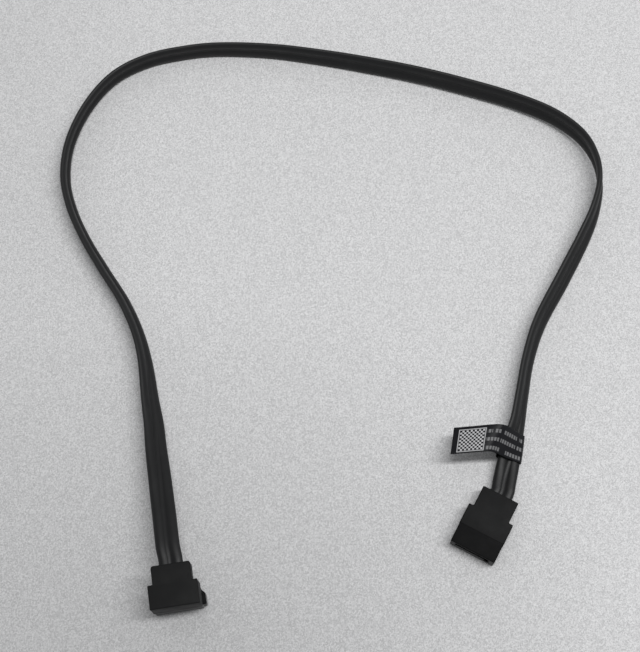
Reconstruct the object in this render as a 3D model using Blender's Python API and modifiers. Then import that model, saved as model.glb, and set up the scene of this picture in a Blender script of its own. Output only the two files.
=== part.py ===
"""Hard disk data cable: a flat twin-pair ribbon with a straight plug, an angled plug and a flag label.

The plugs stand on the ground plane z = 0. The ribbon leaves the angled plug flat, stands up on
its edge round the bends, and turns flat again just before the straight plug.
Metres, +Z up, origin at the bottom centre of the box round the two plugs.
"""

import math

import bmesh
import bpy
from mathutils import Matrix, Vector

# Ribbon: two oval lobes, one for each wire pair, joined by a thin web
RIBBON_WIDTH = 0.00695
RIBBON_THICKNESS = 0.00185
LOBE_WIDTH = 0.0032
WEB_THICKNESS = 0.0010
RIBBON_STEPS = 80
CABLE_CLEARANCE = 0.0003

# Wires inside the ribbon: each pair has two insulated cores between two bare drain wires
CORE_PITCH = 0.0009
CORE_DIAMETER = 0.00075
BARE_DIAMETER = 0.00028
DRAIN_OFFSET = 0.0012
WIRE_LIFT = 0.00006

# Mating nose, the same on both plugs: X across, Y into the plug, Z through its thickness
NOSE_WIDTH = 0.0140
NOSE_THICKNESS = 0.0054
NOSE_LENGTH = 0.0059
NOSE_EDGE = 0.00035
SLOT_DEPTH = 0.0050
SLOT_WIDTH = 0.0106
SLOT_HEIGHT = 0.0015
SLOT_FLOOR = 0.0030
KEY_WIDTH = 0.0013
KEY_DROP = 0.0014
LEAD_IN = 0.00025
CUT_OVER = 0.0004

# Contacts: sprung strips in open channels under the slot, with tails behind the nose
CONTACTS = 7
CONTACT_PITCH = 0.00127
CONTACT_WIDTH = 0.00055
CONTACT_THICKNESS = 0.0002
CONTACT_ROW_SHIFT = -0.00055
CONTACT_LEVEL = 0.0022
CONTACT_RISE = 0.00115
CONTACT_SIDE_GAP = 0.0002
CONTACT_TIP = 0.0010
CONTACT_TOUCH = 0.0020
CONTACT_HEEL = 0.0044
CONTACT_ROUND = 0.0004
CONTACT_DIP = 0.0006
CONTACT_TAIL = 0.0039
ANGLED_TAIL_RISE = 0.0042
ANGLED_TAIL_REACH = 0.0023
TAIL_BEND = 0.0003
CHANNEL_MOUTH = 0.0006
CHANNEL_DEPTH = 0.0006
SOLDER_LENGTH = 0.0027
ANGLED_SOLDER_LENGTH = 0.0016
STRIP_LENGTH = 0.0004
GROUND_CONTACTS = (1, 4, 7)
SIGNAL_CONTACTS = (2, 3, 5, 6)

# Moulded bodies
BODY_WIDTH = 0.0142
BODY_THICKNESS = 0.0056
RELIEF_WIDTH = 0.0113
BODY_EDGE = 0.0003
PART_LINE = 0.0002
WALL = 0.0005
SEAT_GAP = 0.00025
POCKET_HEADROOM = 0.0009
THROAT_HEADROOM = 0.0008

# Straight plug
STRAIGHT_BODY_LENGTH = 0.0063
STRAIGHT_RELIEF_LENGTH = 0.0066
STRAIGHT_HOLD = 0.0051
STRAIGHT_PLACE = (0.03903, -0.00334)
STRAIGHT_TURN = -31.6

# Angled plug, mouth down
ANGLED_BODY_DEPTH = 0.0069
ANGLED_BODY_TOP = 0.0139
ANGLED_RELIEF_LENGTH = 0.0053
ANGLED_RELIEF_THICKNESS = 0.0050
ANGLED_HOLD = 0.0035
ANGLED_CABLE_LEVEL = 0.0112
ANGLED_NOSE_BACK = 0.0058
ANGLED_WALL = 0.0006
ANGLED_POCKET_HEADROOM = 0.0013
ANGLED_THROAT_HEADROOM = 0.0011
ANGLED_PLACE = (-0.04599, -0.01504)
ANGLED_TURN = 5.45
WEDGE_STAND = 0.0011
WEDGE_LENGTH = 0.0043
WEDGE_HEIGHT = 0.0046
WEDGE_INSET = 0.0005

# Terminal shelf behind each nose, on which the contact tails lie
SHELF_WIDTH = 0.0120
SHELF_LENGTH = 0.0043
SHELF_THICKNESS = 0.0011
SHELF_GAP = 0.0003
ANGLED_SHELF_RISE = 0.0038
ANGLED_SHELF_MARGIN = 0.0003
ANGLED_SHELF_BACK = 0.0010

# Flag label: one film folded round the ribbon, its two ends closed on each other
FILM_THICKNESS = 0.00015
FILM_GAP = 0.0001
LABEL_WIDTH = 0.0091
LABEL_FROM_PLUG = 0.0100
FLAG_END = (0.0362, 0.0297, 0.0058)
FLAG_END_LEAN = (0.219, 0.936, -0.275)
FLAG_ROOT = 0.0006
FLAG_KNEE = 0.0022
FLAG_STEPS = 5
FOLD_STEPS = 6
LABEL_ROWS = 9

# Route between the plugs: x, y, lift of the lower edge off the ground, and turn in degrees.
# A turn of 0 is flat, 90 is on edge and 180 is flat with the other face up.
ROUTE = [
    (-0.0481, 0.0032, 0.0100, 3),
    (-0.0489, 0.0107, 0.0086, 7),
    (-0.0498, 0.0182, 0.0069, 13),
    (-0.0507, 0.0257, 0.0052, 22),
    (-0.0516, 0.0334, 0.0037, 31),
    (-0.0523, 0.0412, 0.0024, 39),
    (-0.0534, 0.0492, 0.0015, 49),
    (-0.0548, 0.0614, 0.0008, 62),
    (-0.0572, 0.0714, 0.0004, 66),
    (-0.0614, 0.0817, 0.0001, 66),
    (-0.0674, 0.0924, 0.0, 67),
    (-0.0732, 0.1033, 0.0, 71),
    (-0.0776, 0.1143, 0.0, 75),
    (-0.0797, 0.1254, 0.0, 80),
    (-0.0782, 0.1379, 0.0, 86),
    (-0.0725, 0.1506, 0.0, 88),
    (-0.0640, 0.1607, 0.0, 88),
    (-0.0531, 0.1664, 0.0, 87),
    (-0.0408, 0.1688, 0.0, 87),
    (-0.0283, 0.1693, 0.0, 86),
    (-0.0116, 0.1675, 0.0, 83),
    (0.0048, 0.1640, 0.0, 78),
    (0.0210, 0.1597, 0.0001, 74),
    (0.0370, 0.1548, 0.0003, 73),
    (0.0526, 0.1491, 0.0003, 72),
    (0.0670, 0.1430, 0.0005, 73),
    (0.0786, 0.1363, 0.0009, 75),
    (0.0866, 0.1282, 0.0014, 80),
    (0.0902, 0.1196, 0.0018, 90),
    (0.0905, 0.1110, 0.0019, 101),
    (0.0879, 0.1021, 0.0016, 113),
    (0.0834, 0.0932, 0.0011, 123),
    (0.0752, 0.0798, 0.0006, 127),
    (0.0667, 0.0663, 0.0003, 123),
    (0.0619, 0.0550, 0.0002, 120),
    (0.0588, 0.0440, 0.0004, 123),
    (0.0567, 0.0360, 0.0007, 129),
    (0.0551, 0.0312, 0.0009, 141),
    (0.0534, 0.0258, 0.0012, 159),
    (0.0517, 0.0204, 0.0015, 174),
    (0.0503, 0.0158, 0.0018, 180),
]

GROUND_LEVEL = 0.0
RIBBON_LIFT = 0.00003
CURVE_STEPS = 12


def clear_scene():
    for item in list(bpy.data.objects):
        bpy.data.objects.remove(item)


def new_collection(name):
    collection = bpy.data.collections.new(name)
    bpy.context.scene.collection.children.link(collection)
    return collection


def new_material(name, colour, roughness, metallic=0.0):
    material = bpy.data.materials.new(name)
    material.use_nodes = True
    shader = material.node_tree.nodes["Principled BSDF"]
    shader.inputs["Base Color"].default_value = (*colour, 1.0)
    shader.inputs["Roughness"].default_value = roughness
    shader.inputs["Metallic"].default_value = metallic
    return material


clear_scene()
PARTS = new_collection("hard_disk_data_cable")
CUTTERS = new_collection("cutters")

JACKET = new_material("ribbon_jacket", (0.020, 0.021, 0.022), 0.42)
MOULDED = new_material("moulded_body", (0.018, 0.018, 0.019), 0.55)
INSULATOR = new_material("insulator", (0.010, 0.010, 0.011), 0.38)
GOLD = new_material("gold_contact", (0.83, 0.62, 0.27), 0.25, 1.0)
CORE = new_material("core_insulation", (0.75, 0.75, 0.72), 0.5)
TINNED = new_material("tinned_wire", (0.72, 0.72, 0.70), 0.3, 1.0)
FILM = new_material("label_film", (0.015, 0.015, 0.016), 0.35)


def add_mesh(name, bm, material, parent=None):
    """A named object from a bmesh, or a cutter where it has no material."""
    bmesh.ops.recalc_face_normals(bm, faces=bm.faces)
    mesh = bpy.data.meshes.new(name)
    bm.to_mesh(mesh)
    bm.free()
    item = bpy.data.objects.new(name, mesh)
    item.parent = parent
    if material:
        mesh.materials.append(material)
        PARTS.objects.link(item)
    else:
        as_guide(item)
    return item


def as_guide(item):
    item.hide_render = True
    item.display_type = "WIRE"
    CUTTERS.objects.link(item)


def box_mesh(low, high):
    """A box whose faces lie exactly on its two corners."""
    plan = ((low[0], low[1]), (high[0], low[1]), (high[0], high[1]), (low[0], high[1]))
    return loft([[(x, y, z) for x, y in plan] for z in (low[2], high[2])])


def loft(sections):
    """A closed solid through outlines of equal length, capped at both ends."""
    bm = bmesh.new()
    rings = [[bm.verts.new(point) for point in section] for section in sections]
    for near, far in zip(rings, rings[1:]):
        for k in range(len(near)):
            n = (k + 1) % len(near)
            bm.faces.new((near[k], near[n], far[n], far[k]))
    bm.faces.new(list(reversed(rings[0])))
    bm.faces.new(rings[-1])
    return bm


def skin(rows):
    """An open sheet of quads between rows of points."""
    bm = bmesh.new()
    grid = [[bm.verts.new(point) for point in row] for row in rows]
    for near, far in zip(grid, grid[1:]):
        for k in range(len(near) - 1):
            bm.faces.new((near[k], near[k + 1], far[k + 1], far[k]))
    return bm


def solidify(item, thickness):
    wall = item.modifiers.new("sheet", "SOLIDIFY")
    wall.thickness = thickness
    wall.offset = 0.0
    wall.use_even_offset = True


def round_edges(item, width):
    bevel = item.modifiers.new("edges", "BEVEL")
    bevel.width = width
    bevel.segments = 2
    bevel.limit_method = "ANGLE"
    bevel.angle_limit = math.radians(40)


def combine(item, other, operation):
    boolean = item.modifiers.new(other.name, "BOOLEAN")
    boolean.operation = operation
    boolean.object = other


def add_frame(name, place, turn):
    """The empty that carries one plug."""
    frame = bpy.data.objects.new(name, None)
    frame.location = (*place, GROUND_LEVEL)
    frame.rotation_euler = (0.0, 0.0, math.radians(turn))
    PARTS.objects.link(frame)
    return frame


def add_seat(name, plug, location, pitch):
    """The empty of a plug's mating nose: mouth at y = 0, depth along +Y."""
    seat = bpy.data.objects.new(name, None)
    seat.parent = plug
    seat.location = location
    seat.rotation_euler = (math.radians(pitch), 0.0, 0.0)
    PARTS.objects.link(seat)
    return seat


def key_outline(grow, y):
    """The keyed slot: a long bar with a foot at its +X end."""
    left = -SLOT_WIDTH / 2 - grow
    right = SLOT_WIDTH / 2 + grow
    foot = SLOT_WIDTH / 2 - KEY_WIDTH - grow
    low = SLOT_FLOOR - grow
    high = SLOT_FLOOR + SLOT_HEIGHT + grow
    toe = SLOT_FLOOR - KEY_DROP - grow
    corners = ((left, high), (left, low), (foot, low), (foot, toe), (right, toe), (right, high))
    return [(x, y, z) for x, z in corners]


def contact_x(number):
    middle = (CONTACTS + 1) / 2
    return CONTACT_ROW_SHIFT + (number - middle) * CONTACT_PITCH


def contact_channels(name, seat, hole_end):
    """Cutter for the contacts: an open channel in the slot's wall and a hole through its floor."""
    half = CONTACT_WIDTH / 2 + CONTACT_SIDE_GAP
    bed = CONTACT_LEVEL - CHANNEL_DEPTH
    opening = SLOT_FLOOR + CUT_OVER
    back = SLOT_DEPTH - CONTACT_SIDE_GAP
    bm = bmesh.new()
    for number in range(1, CONTACTS + 1):
        x = contact_x(number)
        outline = (
            (CHANNEL_MOUTH, bed),
            (SLOT_DEPTH, bed),
            (SLOT_DEPTH, CONTACT_LEVEL - SHELF_GAP),
            (hole_end, CONTACT_LEVEL - SHELF_GAP),
            (hole_end, CONTACT_LEVEL + SHELF_GAP),
            (back, CONTACT_LEVEL + SHELF_GAP),
            (back, opening),
            (CHANNEL_MOUTH, opening),
        )
        channel = loft([[(x + side, y, z) for y, z in outline] for side in (-half, half)])
        piece = bpy.data.meshes.new("channel")
        channel.to_mesh(piece)
        channel.free()
        bm.from_mesh(piece)
        bpy.data.meshes.remove(piece)
    return add_mesh(name, bm, None, seat)


def add_housing(prefix, seat, shelf_low, shelf_high, hole_end):
    """The insulator: keyed nose, contact channels and the shelf behind it."""
    low = (-NOSE_WIDTH / 2, 0.0, 0.0)
    high = (NOSE_WIDTH / 2, NOSE_LENGTH, NOSE_THICKNESS)
    bm = box_mesh(low, high)
    bmesh.ops.bevel(
        bm, geom=bm.edges[:], offset=NOSE_EDGE, segments=2, profile=0.5,
        affect="EDGES", clamp_overlap=True, material=-1)
    housing = add_mesh(prefix + "_housing", bm, INSULATOR, seat)
    shelf = add_mesh(prefix + "_shelf_form", box_mesh(shelf_low, shelf_high), None, seat)
    combine(housing, shelf, "UNION")
    outlines = [
        key_outline(LEAD_IN * 2, -LEAD_IN),
        key_outline(0.0, LEAD_IN),
        key_outline(0.0, SLOT_DEPTH),
    ]
    slot = add_mesh(prefix + "_keyed_slot", loft(outlines), None, seat)
    combine(housing, slot, "DIFFERENCE")
    combine(housing, contact_channels(prefix + "_channels", seat, hole_end), "DIFFERENCE")
    return housing


def contact_profile(angled):
    """Side view of a contact, from its tip at the mouth to its solder tail: depth, height."""
    touch = CONTACT_LEVEL + CONTACT_RISE
    shoulder = touch - CONTACT_THICKNESS / 2
    points = [
        (CONTACT_TIP, touch - CONTACT_DIP),
        (CONTACT_TOUCH - CONTACT_ROUND, shoulder),
        (CONTACT_TOUCH, touch),
        (CONTACT_TOUCH + CONTACT_ROUND, shoulder),
        (CONTACT_HEEL - CONTACT_ROUND * 2, CONTACT_LEVEL + CONTACT_RISE / 4),
        (CONTACT_HEEL, CONTACT_LEVEL),
    ]
    if not angled:
        return points + [(NOSE_LENGTH + CONTACT_TAIL, CONTACT_LEVEL)]
    tail = NOSE_LENGTH + ANGLED_TAIL_RISE
    corner = TAIL_BEND * (1 - math.sqrt(0.5))
    return points + [
        (tail - TAIL_BEND, CONTACT_LEVEL),
        (tail - corner, CONTACT_LEVEL - corner),
        (tail, CONTACT_LEVEL - TAIL_BEND),
        (tail, CONTACT_LEVEL - ANGLED_TAIL_REACH),
    ]


def add_contacts(prefix, seat, angled):
    for number in range(1, CONTACTS + 1):
        x = contact_x(number)
        profile = contact_profile(angled)
        sides = (x - CONTACT_WIDTH / 2, x + CONTACT_WIDTH / 2)
        bm = skin([[(side, y, z) for y, z in profile] for side in sides])
        contact = add_mesh(f"{prefix}_contact_{number}", bm, GOLD, seat)
        solidify(contact, CONTACT_THICKNESS)


def add_wire(name, points, radii, material, plug):
    """One wire end: a tube whose radius drops where the insulation is stripped."""
    curve = bpy.data.curves.new(name, "CURVE")
    curve.dimensions = "3D"
    curve.bevel_depth = 1.0
    curve.bevel_resolution = 2
    curve.use_fill_caps = True
    spline = curve.splines.new("POLY")
    spline.points.add(len(points) - 1)
    for point, place, radius in zip(spline.points, points, radii):
        point.co = (*place, 1.0)
        point.radius = radius
    curve.materials.append(material)
    wire = bpy.data.objects.new(name, curve)
    wire.parent = plug
    PARTS.objects.link(wire)


def add_wires(prefix, plug, cable_end, cable_level, tail_from, tail_to, tail_top):
    """The wires between the ribbon's cut end and the contact tails, in one plug."""
    lobe = (RIBBON_WIDTH - LOBE_WIDTH) / 2
    start = cable_end - CABLE_CLEARANCE
    bare_level = tail_top + WIRE_LIFT + BARE_DIAMETER / 2
    strip = tail_from + STRIP_LENGTH
    slack = (start - strip) / 3

    def route(x_from, x_to, rest_level):
        return [
            (x_from, start, cable_level),
            (x_from, start - slack, cable_level),
            ((x_from + x_to) / 2, start - 2 * slack, (cable_level + rest_level) / 2),
            (x_to, strip, rest_level),
            (x_to, strip - STRIP_LENGTH / 2, bare_level),
            (x_to, tail_to, bare_level),
        ]

    core_radii = [CORE_DIAMETER / 2] * 4 + [BARE_DIAMETER / 2] * 2
    core_level = tail_top + CORE_DIAMETER / 2
    cores = [side * lobe + pair * CORE_PITCH / 2 for side in (-1, 1) for pair in (-1, 1)]
    for index, (x, contact) in enumerate(zip(cores, SIGNAL_CONTACTS), start=1):
        points = route(x, contact_x(contact), core_level)
        add_wire(f"{prefix}_core_{index}", points, core_radii, CORE, plug)

    drain_radii = [BARE_DIAMETER / 2] * 6
    drains = [side * lobe + end * DRAIN_OFFSET for side in (-1, 1) for end in (-1, 1)]
    middle = GROUND_CONTACTS[1]
    apart = BARE_DIAMETER / 2 + WIRE_LIFT
    places = [
        contact_x(GROUND_CONTACTS[0]),
        contact_x(middle) - apart,
        contact_x(middle) + apart,
        contact_x(GROUND_CONTACTS[2]),
    ]
    for index, (x, place) in enumerate(zip(drains, places), start=1):
        points = route(x, place, bare_level)
        add_wire(f"{prefix}_drain_{index}", points, drain_radii, TINNED, plug)


def stepped_block(body_from, body_to, relief_to, low, high):
    """A wide body with a narrower strain relief behind it, drawn in plan and raised."""
    wide = BODY_WIDTH / 2
    narrow = RELIEF_WIDTH / 2
    plan = (
        (-wide, body_from), (wide, body_from), (wide, body_to), (narrow, body_to),
        (narrow, relief_to), (-narrow, relief_to), (-narrow, body_to), (-wide, body_to),
    )
    return loft([[(x, y, z) for x, y in plan] for z in (low, high)])


def cut_cable_way(body, prefix, plug, throat, slot):
    """The space for the wires and the oblong hole that grips the ribbon."""
    for label, (low, high) in (("throat", throat), ("cable_hole", slot)):
        cutter = add_mesh(f"{prefix}_{label}", box_mesh(low, high), None, plug)
        combine(body, cutter, "DIFFERENCE")


def add_straight_plug():
    """Plug frame: mouth at y = 0, cable towards +Y, standing on z = 0."""
    plug = add_frame("straight_plug", STRAIGHT_PLACE, STRAIGHT_TURN)
    nose_rise = (BODY_THICKNESS - NOSE_THICKNESS) / 2
    seat = add_seat("straight_seat", plug, (0.0, 0.0, nose_rise), 0.0)
    shelf_top = CONTACT_LEVEL - CONTACT_THICKNESS / 2 - SHELF_GAP
    shelf_low = (-SHELF_WIDTH / 2, NOSE_LENGTH - NOSE_EDGE, shelf_top - SHELF_THICKNESS)
    shelf_high = (SHELF_WIDTH / 2, NOSE_LENGTH + SHELF_LENGTH, shelf_top)
    add_housing("straight", seat, shelf_low, shelf_high, NOSE_LENGTH + NOSE_EDGE)
    add_contacts("straight", seat, angled=False)

    body_from = NOSE_LENGTH + PART_LINE
    body_to = body_from + STRAIGHT_BODY_LENGTH
    relief_to = body_to + STRAIGHT_RELIEF_LENGTH
    cable_end = relief_to - STRAIGHT_HOLD
    level = BODY_THICKNESS / 2
    bm = stepped_block(body_from, body_to, relief_to, 0.0, BODY_THICKNESS)
    body = add_mesh("straight_overmould", bm, MOULDED, plug)
    round_edges(body, BODY_EDGE)
    pocket_half = SHELF_WIDTH / 2 + SEAT_GAP
    pocket_back = NOSE_LENGTH + SHELF_LENGTH + SEAT_GAP
    pocket_low = nose_rise + shelf_top - SHELF_THICKNESS - SEAT_GAP
    tail_top = nose_rise + CONTACT_LEVEL + CONTACT_THICKNESS / 2
    pocket = add_mesh(
        "straight_pocket",
        box_mesh(
            (-pocket_half, 0.0, pocket_low),
            (pocket_half, pocket_back, level + POCKET_HEADROOM)),
        None, plug)
    combine(body, pocket, "DIFFERENCE")
    throat_half = CABLE_CLEARANCE + CONTACT_WIDTH / 2 - contact_x(1)
    throat = (
        (-throat_half, pocket_back - CUT_OVER, tail_top - WALL / 2),
        (throat_half, cable_end, level + THROAT_HEADROOM),
    )
    cable_half = RIBBON_WIDTH / 2 + CABLE_CLEARANCE
    cable_rise = RIBBON_THICKNESS / 2 + CABLE_CLEARANCE
    slot = (
        (-cable_half, cable_end - CABLE_CLEARANCE, level - cable_rise),
        (cable_half, relief_to + CUT_OVER, level + cable_rise),
    )
    cut_cable_way(body, "straight", plug, throat, slot)
    tail_back = NOSE_LENGTH + CONTACT_TAIL
    add_wires("straight", plug, cable_end, level, tail_back, tail_back - SOLDER_LENGTH, tail_top)
    return plug, cable_end, relief_to, level


def add_angled_plug():
    """Plug frame: front of the body at y = 0, cable towards +Y, mouth down on z = 0."""
    plug = add_frame("angled_plug", ANGLED_PLACE, ANGLED_TURN)
    seat = add_seat("angled_seat", plug, (0.0, ANGLED_NOSE_BACK, 0.0), 90.0)
    shelf_end = NOSE_LENGTH + ANGLED_SHELF_RISE
    shelf_low = (-SHELF_WIDTH / 2, NOSE_LENGTH - NOSE_EDGE, ANGLED_SHELF_MARGIN)
    shelf_high = (SHELF_WIDTH / 2, shelf_end, NOSE_THICKNESS - ANGLED_SHELF_BACK)
    housing = add_housing("angled", seat, shelf_low, shelf_high, shelf_end + SHELF_GAP)
    add_wedge(housing, plug)
    add_contacts("angled", seat, angled=True)

    relief_to = ANGLED_BODY_DEPTH + ANGLED_RELIEF_LENGTH
    cable_end = relief_to - ANGLED_HOLD
    body_low = NOSE_LENGTH + PART_LINE
    block = box_mesh(
        (-BODY_WIDTH / 2, 0.0, body_low),
        (BODY_WIDTH / 2, ANGLED_BODY_DEPTH, ANGLED_BODY_TOP))
    body = add_mesh("angled_overmould", block, MOULDED, plug)
    relief = box_mesh(
        (-RELIEF_WIDTH / 2, ANGLED_BODY_DEPTH / 2, ANGLED_BODY_TOP - ANGLED_RELIEF_THICKNESS),
        (RELIEF_WIDTH / 2, relief_to, ANGLED_BODY_TOP))
    combine(body, add_mesh("angled_relief_form", relief, None, plug), "UNION")
    round_edges(body, BODY_EDGE)

    pocket_half = SHELF_WIDTH / 2 + SEAT_GAP
    pocket_front = ANGLED_NOSE_BACK - shelf_high[2] - SEAT_GAP
    pocket_back = ANGLED_BODY_DEPTH - ANGLED_WALL
    tail_level = NOSE_LENGTH + ANGLED_TAIL_RISE
    tail_top = tail_level + CONTACT_THICKNESS / 2
    pocket = add_mesh(
        "angled_pocket",
        box_mesh(
            (-pocket_half, pocket_front, 0.0),
            (pocket_half, pocket_back, ANGLED_CABLE_LEVEL + ANGLED_POCKET_HEADROOM)),
        None, plug)
    combine(body, pocket, "DIFFERENCE")
    throat_half = CABLE_CLEARANCE + CONTACT_WIDTH / 2 - contact_x(1)
    throat = (
        (-throat_half, pocket_back - CUT_OVER, tail_level - WALL),
        (throat_half, cable_end, ANGLED_CABLE_LEVEL + ANGLED_THROAT_HEADROOM),
    )
    cable_half = RIBBON_WIDTH / 2 + CABLE_CLEARANCE
    cable_rise = RIBBON_THICKNESS / 2 + CABLE_CLEARANCE
    slot = (
        (-cable_half, cable_end - CABLE_CLEARANCE, ANGLED_CABLE_LEVEL - cable_rise),
        (cable_half, relief_to + CUT_OVER, ANGLED_CABLE_LEVEL + cable_rise),
    )
    cut_cable_way(body, "angled", plug, throat, slot)
    tail_back = ANGLED_NOSE_BACK - CONTACT_LEVEL + ANGLED_TAIL_REACH
    tail_front = tail_back - ANGLED_SOLDER_LENGTH
    add_wires("angled", plug, cable_end, ANGLED_CABLE_LEVEL, tail_back, tail_front, tail_top)
    return plug, cable_end, relief_to, ANGLED_CABLE_LEVEL


def add_wedge(housing, plug):
    """The low locking wedge on one end of the angled plug's nose, sloped at its back."""
    inner = NOSE_WIDTH / 2 - NOSE_EDGE * 2
    root = NOSE_WIDTH / 2 - NOSE_EDGE / 2
    outer = NOSE_WIDTH / 2 + WEDGE_STAND
    front = ANGLED_NOSE_BACK - NOSE_THICKNESS + WEDGE_INSET
    back = front + WEDGE_LENGTH
    end = back + NOSE_EDGE / 2
    plan = ((inner, front), (outer, front), (outer, back - WEDGE_STAND), (root, end), (inner, end))
    bm = loft([[(x, y, z) for x, y in plan] for z in (WEDGE_INSET, WEDGE_HEIGHT)])
    combine(housing, add_mesh("angled_wedge_form", bm, None, plug), "UNION")


def ribbon_half_height(turn):
    """How far the section reaches below its centre at a turn."""
    sine = abs(math.sin(math.radians(turn)))
    cosine = abs(math.cos(math.radians(turn)))
    reach = (RIBBON_WIDTH - LOBE_WIDTH) / 2 * sine
    return reach + math.hypot(LOBE_WIDTH / 2 * sine, RIBBON_THICKNESS / 2 * cosine)


def in_plug(plug, y, z):
    turn = Matrix.Rotation(plug.rotation_euler[2], 4, "Z")
    return Matrix.Translation(plug.location) @ turn @ Vector((0.0, y, z))


def plug_run(plug, cable_end, relief_to, level, turn):
    """The straight start of the ribbon in a plug: its cut end, the mouth of the hole and a lead."""
    lead = relief_to + RIBBON_THICKNESS
    return [(*in_plug(plug, y, level), turn) for y in (cable_end, relief_to, lead)]


def catmull_rom(p0, p1, p2, p3, t):
    """A point between p1 and p2 on a smooth curve through all four."""
    return [
        0.5 * (2 * b + (c - a) * t + (2 * a - 5 * b + 4 * c - d) * t * t
               + (3 * b - a - 3 * c + d) * t ** 3)
        for a, b, c, d in zip(p0, p1, p2, p3)
    ]


def ribbon_path(angled, straight):
    """Evenly spaced points along the ribbon, each with its turn."""
    route = plug_run(*angled, turn=0.0)
    for x, y, lift, turn in ROUTE:
        z = GROUND_LEVEL + RIBBON_LIFT + lift + ribbon_half_height(turn)
        route.append((x, y, z, turn))
    route += reversed(plug_run(*straight, turn=180.0))
    padded = [route[0]] + route + [route[-1]]
    fine = []
    for a, b, c, d in zip(padded, padded[1:], padded[2:], padded[3:]):
        fine += [catmull_rom(a, b, c, d, step / CURVE_STEPS) for step in range(CURVE_STEPS)]
    fine.append(list(route[-1]))
    lengths = [0.0]
    for near, far in zip(fine, fine[1:]):
        lengths.append(lengths[-1] + (Vector(far[:3]) - Vector(near[:3])).length)
    return fine, lengths


def along(path, distance):
    """The point and turn at a distance from the ribbon's start."""
    fine, lengths = path
    distance = min(max(distance, 0.0), lengths[-1])
    k = 0
    while k < len(lengths) - 2 and lengths[k + 1] < distance:
        k += 1
    share = (distance - lengths[k]) / (lengths[k + 1] - lengths[k])
    return [a + (b - a) * share for a, b in zip(fine[k], fine[k + 1])]


def ribbon_section():
    """Guide curve: the outline of the two lobes and the web, across X."""
    lobe = (RIBBON_WIDTH - LOBE_WIDTH) / 2
    web = WEB_THICKNESS / 2
    meet = math.asin(web / (RIBBON_THICKNESS / 2))
    half = []
    steps = 7
    for step in range(steps + 1):
        angle = math.pi - meet - (math.pi - meet) * step / steps
        x = lobe + LOBE_WIDTH / 2 * math.cos(angle)
        half.append((x, RIBBON_THICKNESS / 2 * math.sin(angle)))
    top = [(-x, y) for x, y in reversed(half)] + half
    outline = top + [(x, -y) for x, y in reversed(top[1:-1])]
    curve = bpy.data.curves.new("ribbon_section", "CURVE")
    curve.dimensions = "2D"
    spline = curve.splines.new("POLY")
    spline.points.add(len(outline) - 1)
    for point, (x, y) in zip(spline.points, outline):
        point.co = (x, y, 0.0, 1.0)
    spline.use_cyclic_u = True
    section = bpy.data.objects.new("ribbon_section", curve)
    as_guide(section)
    return section


def add_ribbon(path):
    """The flat cable, swept along its route and turned as it goes."""
    curve = bpy.data.curves.new("ribbon_cable", "CURVE")
    curve.dimensions = "3D"
    curve.twist_mode = "Z_UP"
    curve.bevel_mode = "OBJECT"
    curve.bevel_object = ribbon_section()
    curve.use_fill_caps = True
    spline = curve.splines.new("POLY")
    spline.points.add(RIBBON_STEPS - 1)
    total = path[1][-1]
    for step, point in enumerate(spline.points):
        x, y, z, turn = along(path, total * step / (RIBBON_STEPS - 1))
        point.co = (x, y, z, 1.0)
        point.tilt = math.radians(turn)
    curve.materials.append(JACKET)
    PARTS.objects.link(bpy.data.objects.new("ribbon_cable", curve))


def label_row(path, distance, across):
    """One line of the folded film: flag, round the ribbon, and back to the flag's end."""
    x, y, z, turn = along(path, distance)
    ahead = along(path, distance + RIBBON_THICKNESS)
    travel = (Vector(ahead[:3]) - Vector((x, y, z))).normalized()
    left = Vector((-travel.y, travel.x, 0.0)).normalized()
    up = Vector((0.0, 0.0, 1.0))
    angle = math.radians(turn)
    rise = left * math.cos(angle) + up * math.sin(angle)
    face = left * math.sin(angle) - up * math.cos(angle)
    centre = Vector((x, y, z))
    apart = (FILM_THICKNESS + FILM_GAP) / 2
    radius = RIBBON_THICKNESS / 2 + CABLE_CLEARANCE
    reach = (RIBBON_WIDTH - RIBBON_THICKNESS) / 2
    root = centre + rise * (reach + radius + FLAG_ROOT)
    end = Vector(FLAG_END) + Vector(FLAG_END_LEAN).normalized() * across
    knee = root + rise * FLAG_KNEE
    flag = []
    for step in range(FLAG_STEPS + 1):
        t = step / FLAG_STEPS
        flag.append(end * (1 - t) ** 2 + knee * 2 * t * (1 - t) + root * t * t)
    upper = [point + up * apart for point in flag[:-1]] + [root + face * apart]
    lower = [point - up * apart for point in flag[:-1]] + [root - face * apart]
    ring = [centre + rise * reach + face * radius, centre + face * radius]
    for step in range(FOLD_STEPS + 1):
        bend = math.pi / 2 + math.pi * step / FOLD_STEPS
        fold = rise * math.cos(bend) + face * math.sin(bend)
        ring.append(centre - rise * reach + fold * radius)
    ring += [centre - face * radius, centre + rise * reach - face * radius]
    return upper + ring + list(reversed(lower))


def add_label(path, straight):
    """The film is set out in rows along the ribbon, then given its thickness."""
    hold = straight[2] - straight[1]
    far = path[1][-1] - hold - LABEL_FROM_PLUG
    rows = []
    for step in range(LABEL_ROWS):
        share = step / (LABEL_ROWS - 1)
        distance = far - LABEL_WIDTH * (1 - share)
        rows.append(label_row(path, distance, LABEL_WIDTH * (0.5 - share)))
    label = add_mesh("flag_label", skin(rows), FILM)
    solidify(label, FILM_THICKNESS)


angled_end = add_angled_plug()
straight_end = add_straight_plug()
path = ribbon_path(angled_end, straight_end)
add_ribbon(path)
add_label(path, straight_end)
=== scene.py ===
"""Looks of the hard disk data cable: ribbon, two plugs, contacts and flag label."""

import math

import bmesh
import bpy
from mathutils import Matrix, Vector


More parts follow.
